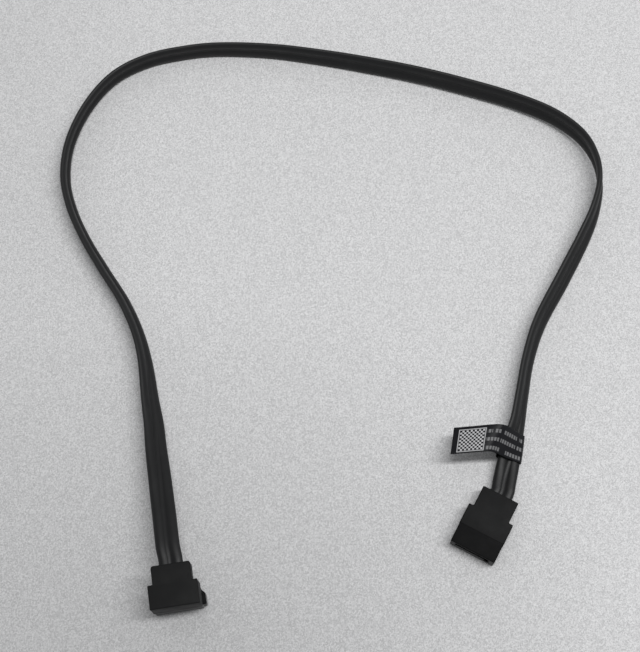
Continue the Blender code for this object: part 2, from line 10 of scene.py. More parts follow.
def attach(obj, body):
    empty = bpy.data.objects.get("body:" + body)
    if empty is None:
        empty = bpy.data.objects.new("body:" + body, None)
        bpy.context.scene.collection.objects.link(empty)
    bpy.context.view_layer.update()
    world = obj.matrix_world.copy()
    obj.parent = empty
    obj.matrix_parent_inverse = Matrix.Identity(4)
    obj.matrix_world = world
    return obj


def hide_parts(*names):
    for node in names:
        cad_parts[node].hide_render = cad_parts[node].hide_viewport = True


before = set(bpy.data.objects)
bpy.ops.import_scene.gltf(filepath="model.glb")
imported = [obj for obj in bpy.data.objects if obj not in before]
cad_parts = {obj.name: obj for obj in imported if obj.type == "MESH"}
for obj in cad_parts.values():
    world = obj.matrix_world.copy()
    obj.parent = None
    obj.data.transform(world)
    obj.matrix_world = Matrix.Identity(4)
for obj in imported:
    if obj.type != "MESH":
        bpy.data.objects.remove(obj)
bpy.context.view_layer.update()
scene = bpy.context.scene
scene.view_settings.view_transform = "Standard"
mm = 0.001

# Camera. It stands 0.39 m above the table at the near end of the loop and looks down at
# 70 degrees, turned a little about its own axis.
LENS_MM = 74.2
CAMERA_PLACE = (-0.0008, -0.0722, 0.3920)
CAMERA_PITCH = 20.0
CAMERA_ROLL = -3.5

optics = bpy.data.cameras.new("camera")
optics.sensor_width = 36.0
optics.lens = LENS_MM
optics.clip_start = 0.01
camera = bpy.data.objects.new("camera", optics)
pitch = Matrix.Rotation(math.radians(CAMERA_PITCH), 4, "X")
roll = Matrix.Rotation(math.radians(CAMERA_ROLL), 4, "Z")
camera.matrix_world = Matrix.Translation(CAMERA_PLACE) @ pitch @ roll
scene.collection.objects.link(camera)
scene.camera = camera


# Ribbon cable. Two shielded wire pairs lie side by side in one extruded jacket of soft black
# vinyl: two oval lobes with a thin web between them. It is held in a moulded plug at each end.
RIBBON_WIDTH = 6.95 * mm
RIBBON_THICKNESS = 1.85 * mm
LOBE_WIDTH = 3.2 * mm
WEB_THICKNESS = 1.0 * mm
RIBBON_LIFT = 0.03 * mm
STRAIGHT_PLACE = (39.03 * mm, -3.34 * mm)
STRAIGHT_TURN = -31.6
STRAIGHT_BACK = 19.0 * mm
STRAIGHT_HOLD = 5.1 * mm
STRAIGHT_LEVEL = 2.8 * mm
ANGLED_PLACE = (-45.99 * mm, -15.04 * mm)
ANGLED_TURN = 5.45
ANGLED_BACK = 12.2 * mm
ANGLED_HOLD = 3.5 * mm
ANGLED_LEVEL = 11.2 * mm
# x, y, lift of the lower edge off the table, and turn in degrees: 0 is flat, 90 on edge
ROUTE = [
    (-0.0481, 0.0032, 0.0100, 3),
    (-0.0489, 0.0107, 0.0086, 7),
    (-0.0498, 0.0182, 0.0069, 13),
    (-0.0507, 0.0257, 0.0052, 22),
    (-0.0516, 0.0334, 0.0037, 31),
    (-0.0523, 0.0412, 0.0024, 39),
    (-0.0534, 0.0492, 0.0015, 49),
    (-0.0548, 0.0614, 0.0008, 62),
    (-0.0572, 0.0714, 0.0004, 66),
    (-0.0614, 0.0817, 0.0001, 66),
    (-0.0674, 0.0924, 0.0, 67),
    (-0.0732, 0.1033, 0.0, 71),
    (-0.0776, 0.1143, 0.0, 75),
    (-0.0797, 0.1254, 0.0, 80),
    (-0.0782, 0.1379, 0.0, 86),
    (-0.0725, 0.1506, 0.0, 88),
    (-0.0640, 0.1607, 0.0, 88),
    (-0.0531, 0.1664, 0.0, 87),
    (-0.0408, 0.1688, 0.0, 87),
    (-0.0283, 0.1693, 0.0, 86),
    (-0.0116, 0.1675, 0.0, 83),
    (0.0048, 0.1640, 0.0, 78),
    (0.0210, 0.1597, 0.0001, 74),
    (0.0370, 0.1548, 0.0003, 73),
    (0.0526, 0.1491, 0.0003, 72),
    (0.0670, 0.1430, 0.0005, 73),
    (0.0786, 0.1363, 0.0009, 75),
    (0.0866, 0.1282, 0.0014, 80),
    (0.0902, 0.1196, 0.0018, 90),
    (0.0905, 0.1110, 0.0019, 101),
    (0.0879, 0.1021, 0.0016, 113),
    (0.0834, 0.0932, 0.0011, 123),
    (0.0752, 0.0798, 0.0006, 127),
    (0.0667, 0.0663, 0.0003, 123),
    (0.0619, 0.0550, 0.0002, 120),
    (0.0588, 0.0440, 0.0004, 123),
    (0.0567, 0.0360, 0.0007, 129),
    (0.0551, 0.0312, 0.0009, 141),
    (0.0534, 0.0258, 0.0012, 159),
    (0.0517, 0.0204, 0.0015, 174),
    (0.0503, 0.0158, 0.0018, 180),
]
STATIONS = 520
STEPS_PER_KNOT = 12
LOBE_STEPS = 14
RIBBON_CREASE = 50.0


def plug_frame(place, turn):
    """Where a plug's own frame lies: mouth or front at y = 0, cable towards +Y."""
    return Matrix.Translation((*place, 0.0)) @ Matrix.Rotation(math.radians(turn), 4, "Z")


def half_height(turn):
    """How far the ribbon reaches below its centre line at a turn."""
    sine = abs(math.sin(math.radians(turn)))
    cosine = abs(math.cos(math.radians(turn)))
    reach = (RIBBON_WIDTH - LOBE_WIDTH) / 2 * sine
    return reach + math.hypot(LOBE_WIDTH / 2 * sine, RIBBON_THICKNESS / 2 * cosine)


def held_run(plug, back, hold, level, turn):
    """The straight stretch of ribbon from its cut end in a plug to just outside."""
    return [(*(plug @ Vector((0.0, y, level))), turn)
            for y in (back - hold, back, back + RIBBON_THICKNESS)]


def catmull_rom(a, b, c, d, t):
    """A point between b and c on the smooth curve through all four."""
    return [0.5 * (2 * q + (r - p) * t + (2 * p - 5 * q + 4 * r - s) * t * t
                   + (3 * q - p - 3 * r + s) * t ** 3)
            for p, q, r, s in zip(a, b, c, d)]


straight_plug = plug_frame(STRAIGHT_PLACE, STRAIGHT_TURN)
angled_plug = plug_frame(ANGLED_PLACE, ANGLED_TURN)
route = held_run(angled_plug, ANGLED_BACK, ANGLED_HOLD, ANGLED_LEVEL, 0.0)
route += [(x, y, lift + RIBBON_LIFT + half_height(turn), turn) for x, y, lift, turn in ROUTE]
route += reversed(held_run(straight_plug, STRAIGHT_BACK, STRAIGHT_HOLD, STRAIGHT_LEVEL, 180.0))
knots = [route[0]] + route + [route[-1]]
trace = [catmull_rom(*four, step / STEPS_PER_KNOT)
         for four in zip(knots, knots[1:], knots[2:], knots[3:])
         for step in range(STEPS_PER_KNOT)]
trace.append(list(route[-1]))
run = [0.0]
for near, far in zip(trace, trace[1:]):
    run.append(run[-1] + (Vector(far[:3]) - Vector(near[:3])).length)
RIBBON_LENGTH = run[-1]


def along(distance):
    """Place and turn of the ribbon's centre line at a distance from its start."""
    distance = min(max(distance, 0.0), RIBBON_LENGTH)
    k = 0
    while k < len(run) - 2 and run[k + 1] < distance:
        k += 1
    share = (distance - run[k]) / (run[k + 1] - run[k])
    x, y, z, turn = [a + (b - a) * share for a, b in zip(trace[k], trace[k + 1])]
    return x, y, max(z, half_height(turn) + RIBBON_LIFT / 2), turn


def ribbon_outline():
    """The two lobes and the web in section, as points round the outline."""
    lobe = (RIBBON_WIDTH - LOBE_WIDTH) / 2
    meet = math.asin(WEB_THICKNESS / RIBBON_THICKNESS)
    half = []
    for step in range(LOBE_STEPS + 1):
        angle = (math.pi - meet) * (1 - step / LOBE_STEPS)
        half.append((lobe + LOBE_WIDTH / 2 * math.cos(angle),
                     RIBBON_THICKNESS / 2 * math.sin(angle)))
    top = [(-x, y) for x, y in reversed(half)] + half
    return top + [(x, -y) for x, y in reversed(top[1:-1])]


def as_mesh(source, name):
    """A finished mesh object from one that still has modifiers or is a curve."""
    evaluated = source.evaluated_get(bpy.context.evaluated_depsgraph_get())
    mesh = bpy.data.meshes.new_from_object(evaluated)
    bpy.data.objects.remove(source)
    piece = bpy.data.objects.new(name, mesh)
    scene.collection.objects.link(piece)
    return piece


section = bpy.data.curves.new("ribbon section", "CURVE")
section.dimensions = "2D"
outline = ribbon_outline()
ring = section.splines.new("POLY")
ring.points.add(len(outline) - 1)
for point, (x, y) in zip(ring.points, outline):
    point.co = (x, y, 0.0, 1.0)
ring.use_cyclic_u = True
section_guide = bpy.data.objects.new("ribbon section", section)
scene.collection.objects.link(section_guide)

centre_line = bpy.data.curves.new("ribbon", "CURVE")
centre_line.dimensions = "3D"
centre_line.twist_mode = "Z_UP"
centre_line.bevel_mode = "OBJECT"
centre_line.bevel_object = section_guide
centre_line.use_fill_caps = True
line = centre_line.splines.new("POLY")
line.points.add(STATIONS)
for step, point in enumerate(line.points):
    x, y, z, turn = along(RIBBON_LENGTH * step / STATIONS)
    point.co = (x, y, z, 1.0)
    point.tilt = math.radians(turn)
swept = bpy.data.objects.new("ribbon swept", centre_line)
scene.collection.objects.link(swept)
ribbon = as_mesh(swept, "ribbon")
bpy.data.objects.remove(section_guide)
closed = bmesh.new()
closed.from_mesh(ribbon.data)
bmesh.ops.remove_doubles(closed, verts=closed.verts, dist=0.01 * mm)
bmesh.ops.recalc_face_normals(closed, faces=closed.faces)
closed.to_mesh(ribbon.data)
closed.free()
ribbon.data.shade_smooth()
ribbon.data.set_sharp_from_angle(angle=math.radians(RIBBON_CREASE))


class Field:
    """A value or colour that varies over a surface: one output socket of a node."""

    def __init__(self, socket):
        self.socket = socket

    def node(self, kind, settings=None, inputs=None, output=0):
        """Any node of the same tree: settings go first, then socket values or links."""
        tree = self.socket.id_data
        made = tree.nodes.new(kind)
        for key, value in (settings or {}).items():
            setattr(made, key, value)
        for key, value in (inputs or {}).items():
            if isinstance(value, Field):
                tree.links.new(value.socket, made.inputs[key])
            else:
                made.inputs[key].default_value = value
        return Field(made.outputs[output])

    def maths(self, operation, *others):
        settings = {"operation": operation}
        return self.node("ShaderNodeMath", settings, dict(enumerate((self, *others))))

    def __add__(self, other):
        return self.maths("ADD", other)

    __radd__ = __add__

    def __mul__(self, other):
        return self.maths("MULTIPLY", other)

    __rmul__ = __mul__

    def __sub__(self, other):
        return self.maths("SUBTRACT", other)

    def __rsub__(self, other):
        return self.maths("MULTIPLY_ADD", -1.0, other)


def new_finish(name, colour, roughness, metallic=0.0, **constants):
    """A Principled material, and its shader as the start of the node work."""
    material = bpy.data.materials.new(name)
    material.use_nodes = True
    shader = material.node_tree.nodes["Principled BSDF"]
    shader.inputs["Base Color"].default_value = (*colour, 1.0)
    shader.inputs["Roughness"].default_value = roughness
    shader.inputs["Metallic"].default_value = metallic
    for key, value in constants.items():
        shader.inputs[key.replace("_", " ")].default_value = value
    return material, shader


def coordinates(shader, kind="Object", scale=(1.0, 1.0, 1.0)):
    """A piece's own coordinates, in metres, or its UV map's, stretched by a scale."""
    start = Field(shader.inputs["Base Color"])
    place = start.node("ShaderNodeTexCoord", output=kind)
    return start.node("ShaderNodeMapping", inputs={"Vector": place, "Scale": scale})


def noise(vector, scale, detail=3.0, roughness=0.5):
    inputs = {"Vector": vector, "Scale": scale, "Detail": detail, "Roughness": roughness}
    return vector.node("ShaderNodeTexNoise", inputs=inputs)


def between(field, low, high, start=0.3, end=0.7):
    """A field's values from start to end, mapped to the range from low to high and held in it."""
    inputs = {"Value": field, "From Min": start, "From Max": end, "To Min": low, "To Max": high}
    return field.node("ShaderNodeMapRange", {"clamp": True}, inputs)


def blend(factor, low, high):
    """A mix of two colours."""
    settings = {"data_type": "RGBA"}
    inputs = {0: factor}
    mixed = factor.node("ShaderNodeMix", settings, inputs, output=2)
    maker = mixed.socket.node
    for slot, value in ((6, low), (7, high)):
        if isinstance(value, Field):
            maker.id_data.links.new(value.socket, maker.inputs[slot])
        else:
            maker.inputs[slot].default_value = (*value, 1.0)
    return mixed


def connect(shader, socket, field):
    shader.id_data.links.new(field.socket, shader.inputs[socket])


def raise_grain(shader, height, strength, distance):
    """A bump for the shader's normal."""
    inputs = {"Height": height, "Strength": strength, "Distance": distance}
    connect(shader, "Normal", height.node("ShaderNodeBump", inputs=inputs))


def axis_values(vector):
    """The first two axes of a vector as separate values."""
    parts = vector.node("ShaderNodeSeparateXYZ", inputs={"Vector": vector}).socket.node
    return Field(parts.outputs["X"]), Field(parts.outputs["Y"])


jacket, shader = new_finish("vinyl jacket", (0.0065, 0.0067, 0.0072), 0.46,
                            Specular_IOR_Level=0.30)
surface = coordinates(shader)
cloud = noise(surface, 90.0, 4.0, 0.55)
streak = noise(coordinates(shader, "UV", (RIBBON_LENGTH * 6.0, 60.0, 1.0)), 1.0, 5.0, 0.6)
grain = noise(surface, 5200.0, 2.0, 0.6)
dusty = between(noise(surface, 340.0, 3.0, 0.6), 0.0, 1.0, 0.52, 0.78)
_, round_section = axis_values(coordinates(shader, "UV"))
# Painted highlight: the base colour is lighter along the ribbon's thin edges, standing in for the
# light they reflect.
from_edge = ((round_section * 2.0 + 0.5).maths("FRACT") - 0.5).maths("ABSOLUTE")
painted_edge_highlight = between(from_edge, 1.0, 0.0, 0.04, 0.17)
connect(shader, "Base Color", blend(
    dusty * 0.15 + streak * 0.08 + painted_edge_highlight * (0.20 + cloud * 0.4),
    (0.0038, 0.0040, 0.0045), (0.024, 0.0244, 0.0252)))
connect(shader, "Roughness", between(cloud * 0.7 + streak * 0.3, 0.40, 0.54, 0.35, 0.65))
raise_grain(shader, grain * 0.7 + streak * 0.3, 0.07, 0.00004)
ribbon.data.materials.clear()
ribbon.data.materials.append(jacket)
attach(ribbon, "root")
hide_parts("ribbon_cable")


# Straight plug body. Black vinyl moulded over the back of the connector and the ribbon's end: a
# wide grip, then a narrower strain relief of the same thickness with an oblong hole for the cable.
BODY_WIDTH = 14.2 * mm
BODY_THICKNESS = 5.6 * mm
RELIEF_WIDTH = 11.3 * mm
BODY_EDGE = 0.32 * mm
FRONT_EDGE = 0.06 * mm
CABLE_CLEARANCE = 0.3 * mm
HOLE_ROUNDNESS = 0.92
SHARP_ANGLE = 35.0
BODY_CREASE = 32.0
SAME_PLACE = 0.01 * mm
STRAIGHT_FRONT = 6.1 * mm
STRAIGHT_STEP = 12.4 * mm
POCKET_HALF = 6.25 * mm
STRAIGHT_POCKET_LOW = 0.65 * mm
STRAIGHT_POCKET_HIGH = 3.7 * mm
STRAIGHT_POCKET_END = 10.45 * mm
THROAT_HALF = 4.93 * mm
STRAIGHT_THROAT_LOW = 2.15 * mm
STRAIGHT_THROAT_HIGH = 3.6 * mm
STRAIGHT_THROAT_LENGTH = 3.1 * mm


def block(low, high):
    """A solid block between two corners."""
    solid = bmesh.new()
    bmesh.ops.create_cube(solid, size=1.0)
    size = Vector(high) - Vector(low)
    bmesh.ops.scale(solid, vec=size, verts=solid.verts)
    bmesh.ops.translate(solid, vec=Vector(low) + size / 2, verts=solid.verts)
    return solid


def facing(solid, direction, near=None):
    """The face that looks along a direction: the outermost one, or the one nearest a point."""
    direction = Vector(direction)
    alike = [face for face in solid.faces if face.normal.dot(direction) > 0.9]
    if near is None:
        return max(alike, key=lambda face: face.calc_center_median().dot(direction))
    return min(alike, key=lambda face: (face.calc_center_median() - Vector(near)).length)


def split_face(solid, face, place, across):
    """Cuts one face along a plane, and leaves the faces behind it whole."""
    geometry = [face, *face.edges, *face.verts]
    bmesh.ops.bisect_plane(solid, geom=geometry, dist=1e-7, plane_co=place, plane_no=across)


def pull_face(solid, face, travel):
    """Extrudes one face by a distance; returns the new end."""
    end = bmesh.ops.extrude_discrete_faces(solid, faces=[face])["faces"][0]
    bmesh.ops.translate(solid, vec=travel, verts=end.verts)
    return end


def sink_opening(solid, face, low, high, travel):
    """Cuts a rectangular opening between two corners in a face; returns its floor."""
    rim = bmesh.ops.extrude_discrete_faces(solid, faces=[face])["faces"][0]
    middle = rim.calc_center_median()
    for corner in rim.verts:
        for axis in range(3):
            if low[axis] != high[axis]:
                side = high if corner.co[axis] > middle[axis] else low
                corner.co[axis] = side[axis]
    return pull_face(solid, rim, travel)


def sharp_edges(solid, axis=None, level=None, on=True):
    """The sharp edges: all of them, or those on or off a plane across an axis."""
    sharp = [edge for edge in solid.edges if edge.calc_face_angle(0.0) > math.radians(SHARP_ANGLE)]
    if axis is None:
        return sharp
    return [edge for edge in sharp
            if all(abs(v.co[axis] - level) < SAME_PLACE for v in edge.verts) == on]


def round_edges(solid, edges, width, segments=4):
    bmesh.ops.bevel(solid, geom=edges, offset=width, segments=segments, profile=0.5,
                    affect="EDGES", clamp_overlap=True, material=-1)
    bmesh.ops.recalc_face_normals(solid, faces=solid.faces)


def cable_way(solid, back, level, depth, throat_floor):
    """The oblong hole that grips the ribbon, opened at its end into the wire space."""
    half = RIBBON_WIDTH / 2 + CABLE_CLEARANCE
    rise = RIBBON_THICKNESS / 2 + CABLE_CLEARANCE
    floor = sink_opening(solid, facing(solid, (0, 1, 0)), (-half, back, level - rise),
                         (half, back, level + rise), (0.0, -depth, 0.0))
    uprights = [edge for corner in floor.verts for edge in corner.link_edges
                if abs(edge.verts[0].co.y - edge.verts[1].co.y) > depth / 2]
    round_edges(solid, uprights, rise * HOLE_ROUNDNESS, 5)
    hole_end = facing(solid, (0, 1, 0), near=(0.0, back - depth, level))
    throat_end = facing(solid, (0, -1, 0), near=throat_floor)
    loops = [*hole_end.edges, *throat_end.edges]
    bmesh.ops.delete(solid, geom=[hole_end, throat_end], context="FACES_ONLY")
    bmesh.ops.bridge_loops(solid, edges=loops)


def place_piece(solid, name, plug):
    """Puts a finished shape in its plug's place, as a smooth-shaded object at the origin."""
    bmesh.ops.recalc_face_normals(solid, faces=solid.faces)
    bmesh.ops.transform(solid, matrix=plug, verts=solid.verts)
    mesh = bpy.data.meshes.new(name)
    solid.to_mesh(mesh)
    solid.free()
    mesh.shade_smooth()
    mesh.set_sharp_from_angle(angle=math.radians(BODY_CREASE))
    piece = bpy.data.objects.new(name, mesh)
    scene.collection.objects.link(piece)
    return piece


def dress(piece, finish, slot, *nodes):
    """Gives a new piece its finish, hangs it under the root body and hides the imported nodes it
    stands for.
    """
    piece.data.materials.clear()
    piece.data.materials.append(finish)
    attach(piece, "root")
    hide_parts(*nodes)


straight = block((-BODY_WIDTH / 2, STRAIGHT_FRONT, 0.0),
                 (BODY_WIDTH / 2, STRAIGHT_STEP, BODY_THICKNESS))
for side in (-1, 1):
    split_face(straight, facing(straight, (0, 1, 0), near=(0.0, STRAIGHT_STEP, 0.0)),
               (side * RELIEF_WIDTH / 2, 0.0, 0.0), (1, 0, 0))
pull_face(straight, facing(straight, (0, 1, 0), near=(0.0, STRAIGHT_STEP, BODY_THICKNESS / 2)),
          (0.0, STRAIGHT_BACK - STRAIGHT_STEP, 0.0))
round_edges(straight, sharp_edges(straight, 1, STRAIGHT_FRONT, on=False), BODY_EDGE)
round_edges(straight, sharp_edges(straight, 1, STRAIGHT_FRONT), FRONT_EDGE, 2)
sink_opening(straight, facing(straight, (0, -1, 0)),
             (-POCKET_HALF, STRAIGHT_FRONT, STRAIGHT_POCKET_LOW),
             (POCKET_HALF, STRAIGHT_FRONT, STRAIGHT_POCKET_HIGH),
             (0.0, STRAIGHT_POCKET_END - STRAIGHT_FRONT, 0.0))
pocket_middle = (STRAIGHT_POCKET_LOW + STRAIGHT_POCKET_HIGH) / 2
wires_end = sink_opening(
    straight, facing(straight, (0, -1, 0), near=(0.0, STRAIGHT_POCKET_END, pocket_middle)),
    (-THROAT_HALF, STRAIGHT_POCKET_END, STRAIGHT_THROAT_LOW),
    (THROAT_HALF, STRAIGHT_POCKET_END, STRAIGHT_THROAT_HIGH),
    (0.0, STRAIGHT_THROAT_LENGTH, 0.0))
cable_way(straight, STRAIGHT_BACK, STRAIGHT_LEVEL, STRAIGHT_HOLD + CABLE_CLEARANCE,
          wires_end.calc_center_median())
straight_body = place_piece(straight, "straight_body", straight_plug)

moulded, shader = new_finish("moulded vinyl", (0.0050, 0.0051, 0.0053), 0.60,
                             Specular_IOR_Level=0.17)
surface = coordinates(shader)
pores = noise(surface, 3600.0, 3.0, 0.6)
rubbed = noise(surface, 210.0, 4.0, 0.55)
dust = between(noise(surface, 900.0, 2.0, 0.7), 0.0, 1.0, 0.60, 0.74)
connect(shader, "Base Color", blend(between(rubbed, 0.0, 0.5) + dust * 0.35,
                                    (0.0036, 0.0037, 0.0039), (0.0070, 0.0071, 0.0073)))
connect(shader, "Roughness", between(rubbed * 0.7 + pores * 0.3, 0.54, 0.70, 0.35, 0.65))
raise_grain(shader, pores, 0.30, 0.00006)
dress(straight_body, moulded, "moulded_body", "straight_overmould")


# Angled plug body. The same vinyl moulded over a connector that stands mouth down, so the cable
# leaves it level and high up; the back corners of its strain relief are rounded more.
ANGLED_DEPTH = 6.9 * mm
ANGLED_LOW = 6.1 * mm
ANGLED_TOP = 13.9 * mm
RELIEF_LOW = 8.9 * mm
RELIEF_CORNER = 0.75 * mm
ANGLED_POCKET_FRONT = 1.15 * mm
ANGLED_POCKET_BACK = 6.3 * mm
ANGLED_POCKET_TOP = 12.5 * mm
ANGLED_THROAT_LOW = 9.6 * mm
ANGLED_THROAT_HIGH = 12.3 * mm
ANGLED_THROAT_LENGTH = 2.05 * mm

angled = block((-BODY_WIDTH / 2, 0.0, ANGLED_LOW), (BODY_WIDTH / 2, ANGLED_DEPTH, ANGLED_TOP))
for place, across in (((-RELIEF_WIDTH / 2, 0.0, 0.0), (1, 0, 0)),
                      ((RELIEF_WIDTH / 2, 0.0, 0.0), (1, 0, 0)),
                      ((0.0, 0.0, RELIEF_LOW), (0, 0, 1))):
    split_face(angled, facing(angled, (0, 1, 0), near=(0.0, ANGLED_DEPTH, ANGLED_TOP)),
               place, across)
relief_middle = (RELIEF_LOW + ANGLED_TOP) / 2
pull_face(angled, facing(angled, (0, 1, 0), near=(0.0, ANGLED_DEPTH, relief_middle)),
          (0.0, ANGLED_BACK - ANGLED_DEPTH, 0.0))
relief_corners = [edge for edge in angled.edges
                  if min(v.co.y for v in edge.verts) > ANGLED_BACK - SAME_PLACE
                  and abs(edge.verts[0].co.z - edge.verts[1].co.z) > 1.0 * mm]
round_edges(angled, relief_corners, RELIEF_CORNER, 5)
round_edges(angled, sharp_edges(angled, 2, ANGLED_LOW, on=False), BODY_EDGE)
round_edges(angled, sharp_edges(angled, 2, ANGLED_LOW), FRONT_EDGE, 2)
sink_opening(angled, facing(angled, (0, 0, -1)),
             (-POCKET_HALF, ANGLED_POCKET_FRONT, ANGLED_LOW),
             (POCKET_HALF, ANGLED_POCKET_BACK, ANGLED_LOW),
             (0.0, 0.0, ANGLED_POCKET_TOP - ANGLED_LOW))
pocket_middle = (ANGLED_LOW + ANGLED_POCKET_TOP) / 2
wires_end = sink_opening(
    angled, facing(angled, (0, -1, 0), near=(0.0, ANGLED_POCKET_BACK, pocket_middle)),
    (-THROAT_HALF, ANGLED_POCKET_BACK, ANGLED_THROAT_LOW),
    (THROAT_HALF, ANGLED_POCKET_BACK, ANGLED_THROAT_HIGH),
    (0.0, ANGLED_THROAT_LENGTH, 0.0))
cable_way(angled, ANGLED_BACK, ANGLED_LEVEL, ANGLED_HOLD + CABLE_CLEARANCE,
          wires_end.calc_center_median())
angled_body = place_piece(angled, "angled_body", angled_plug)
dress(angled_body, moulded, "moulded_body", "angled_overmould")


# Connector housings. Harder black plastic, moulded with the keyed slot, its lead-in and seven
# open channels for the contacts; a shelf behind carries their tails, inside the moulded body.
NOSE_WIDTH = 14.0 * mm
NOSE_THICKNESS = 5.4 * mm
NOSE_EDGE = 0.35 * mm
NOSE_END = 6.08 * mm
WEDGE_STAND = 1.1 * mm
WEDGE_RAMP = 1.1 * mm
WEDGE_FROM_MOUTH = 0.5 * mm
WEDGE_TO_BODY = 4.6 * mm
WEDGE_LOW = 0.6 * mm
WEDGE_HIGH = 4.9 * mm
SHELF_HALF = 6.0 * mm
SLOT_HALF = 5.3 * mm
SLOT_DEPTH = 5.0 * mm
SLOT_FLOOR = 3.0 * mm
SLOT_ROOF = 4.5 * mm
KEY_SIDE = 4.0 * mm
KEY_DROP = 1.4 * mm
LEAD_IN = 0.22 * mm
CUT_OVER = 1.0 * mm
CONTACTS = 7
CONTACT_PITCH = 1.27 * mm
CONTACT_SHIFT = -0.55 * mm
CHANNEL_HALF = 0.475 * mm
SPRING_BED = ((0.6 * mm, 4.8 * mm), (1.6 * mm, 3.4 * mm))
TAIL_BED_FROM = 4.7 * mm
TAIL_BED_LEVELS = (1.9 * mm, 2.5 * mm)
TAIL_BED_OVER = 0.5 * mm
SEAT_LIFT = 0.1 * mm
ANGLED_NOSE_BACK = 5.8 * mm


def carve(solid, *cutters):
    """Cuts shapes out of a solid; returns what is left."""
    holders = []
    for shape in (solid, *cutters):
        bmesh.ops.recalc_face_normals(shape, faces=shape.faces)
        mesh = bpy.data.meshes.new("shape")
        shape.to_mesh(mesh)
        shape.free()
        holders.append(bpy.data.objects.new("shape", mesh))
        scene.collection.objects.link(holders[-1])
    for cutter in holders[1:]:
        cut = holders[0].modifiers.new("cut", "BOOLEAN")
        cut.operation = "DIFFERENCE"
        cut.solver = "EXACT"
        cut.object = cutter
    left_over = bmesh.new()
    left_over.from_object(holders[0], bpy.context.evaluated_depsgraph_get())
    for holder in holders:
        bpy.data.objects.remove(holder)
    return left_over


def connector(shelf_low, shelf_high, shelf_end, wedge=False):
    """A housing in its own frame: mouth at y = 0, depth along +Y, slot towards the top."""
    nose = block((-NOSE_WIDTH / 2, 0.0, 0.0), (NOSE_WIDTH / 2, NOSE_END, NOSE_THICKNESS))
    if wedge:
        outer = sink_opening(nose, facing(nose, (1, 0, 0)),
                             (NOSE_WIDTH / 2, WEDGE_FROM_MOUTH, WEDGE_LOW),
                             (NOSE_WIDTH / 2, WEDGE_TO_BODY, WEDGE_HIGH), (WEDGE_STAND, 0.0, 0.0))
        ramp = [v for v in outer.verts if v.co.z < NOSE_THICKNESS / 2]
        bmesh.ops.translate(nose, vec=(0.0, 0.0, WEDGE_RAMP), verts=ramp)
    round_edges(nose, sharp_edges(nose, 1, NOSE_END, on=False), NOSE_EDGE, 4)
    sink_opening(nose, facing(nose, (0, 1, 0)), (-SHELF_HALF, NOSE_END, shelf_low),
                 (SHELF_HALF, NOSE_END, shelf_high), (0.0, shelf_end - NOSE_END, 0.0))
    slot = block((-SLOT_HALF, -CUT_OVER, SLOT_FLOOR), (SLOT_HALF, SLOT_DEPTH, SLOT_ROOF))
    split_face(slot, facing(slot, (0, 0, -1)), (KEY_SIDE, 0.0, 0.0), (1, 0, 0))
    key = facing(slot, (0, 0, -1), near=((KEY_SIDE + SLOT_HALF) / 2, 0.0, SLOT_FLOOR))
    pull_face(slot, key, (0.0, 0.0, -KEY_DROP))
    beds = bmesh.new()
    tail_bed = ((TAIL_BED_FROM, shelf_end + TAIL_BED_OVER), TAIL_BED_LEVELS)
    for number in range(CONTACTS):
        x = CONTACT_SHIFT + (number - (CONTACTS - 1) / 2) * CONTACT_PITCH
        for (start, end), (low, high) in (SPRING_BED, tail_bed):
            made = bmesh.ops.create_cube(beds, size=1.0)["verts"]
            size = Vector((CHANNEL_HALF * 2, end - start, high - low))
            middle = Vector((x, (start + end) / 2, (low + high) / 2))
            bmesh.ops.scale(beds, vec=size, verts=made)
            bmesh.ops.translate(beds, vec=middle, verts=made)
    nose = carve(nose, slot, beds)
    mouth = [edge for edge in sharp_edges(nose, 1, 0.0)
             if all(abs(v.co.x) < NOSE_WIDTH / 2 - 2 * NOSE_EDGE
                    and NOSE_EDGE < v.co.z < NOSE_THICKNESS - NOSE_EDGE for v in edge.verts)]
    round_edges(nose, mouth, LEAD_IN, 1)
    return nose


insulator, shader = new_finish("connector plastic", (0.0030, 0.0030, 0.0033), 0.58,
                               Specular_IOR_Level=0.08, Sheen_Weight=0.25,
                               Sheen_Roughness=0.3)
surface = coordinates(shader)
flow = noise(surface, 420.0, 3.0, 0.5)
skin_grain = noise(surface, 5200.0, 2.0, 0.5)
connect(shader, "Base Color", blend(between(flow, 0.0, 1.0), (0.0024, 0.0024, 0.0027),
                                    (0.0038, 0.0038, 0.0041)))
connect(shader, "Roughness", between(flow * 0.6 + skin_grain * 0.4, 0.50, 0.66))
raise_grain(shader, skin_grain, 0.15, 0.00003)

straight_seat = straight_plug @ Matrix.Translation((0.0, 0.0, SEAT_LIFT))
angled_seat = angled_plug @ Matrix.Translation((0.0, ANGLED_NOSE_BACK, 0.0))
angled_seat = angled_seat @ Matrix.Rotation(math.pi / 2, 4, "X")
straight_nose = connector(shelf_low=0.7 * mm, shelf_high=1.8 * mm, shelf_end=10.2 * mm)
straight_nose = place_piece(straight_nose, "straight_nose", straight_seat)
angled_nose = connector(shelf_low=0.4 * mm, shelf_high=4.4 * mm, shelf_end=9.7 * mm, wedge=True)
angled_nose = place_piece(angled_nose, "angled_nose", angled_seat)
dress(straight_nose, insulator, "insulator", "straight_housing")
dress(angled_nose, insulator, "insulator", "angled_housing")


# Contacts. Seven sprung strips in each housing, stamped from copper alloy and gold plated; the
# plating is brushed along the strip and a little dull where it was bent.
def finish_node(finish, *nodes):
    """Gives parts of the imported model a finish."""
    for node in nodes:
        data = bpy.data.objects[node].data
        data.materials.clear()
        data.materials.append(finish)


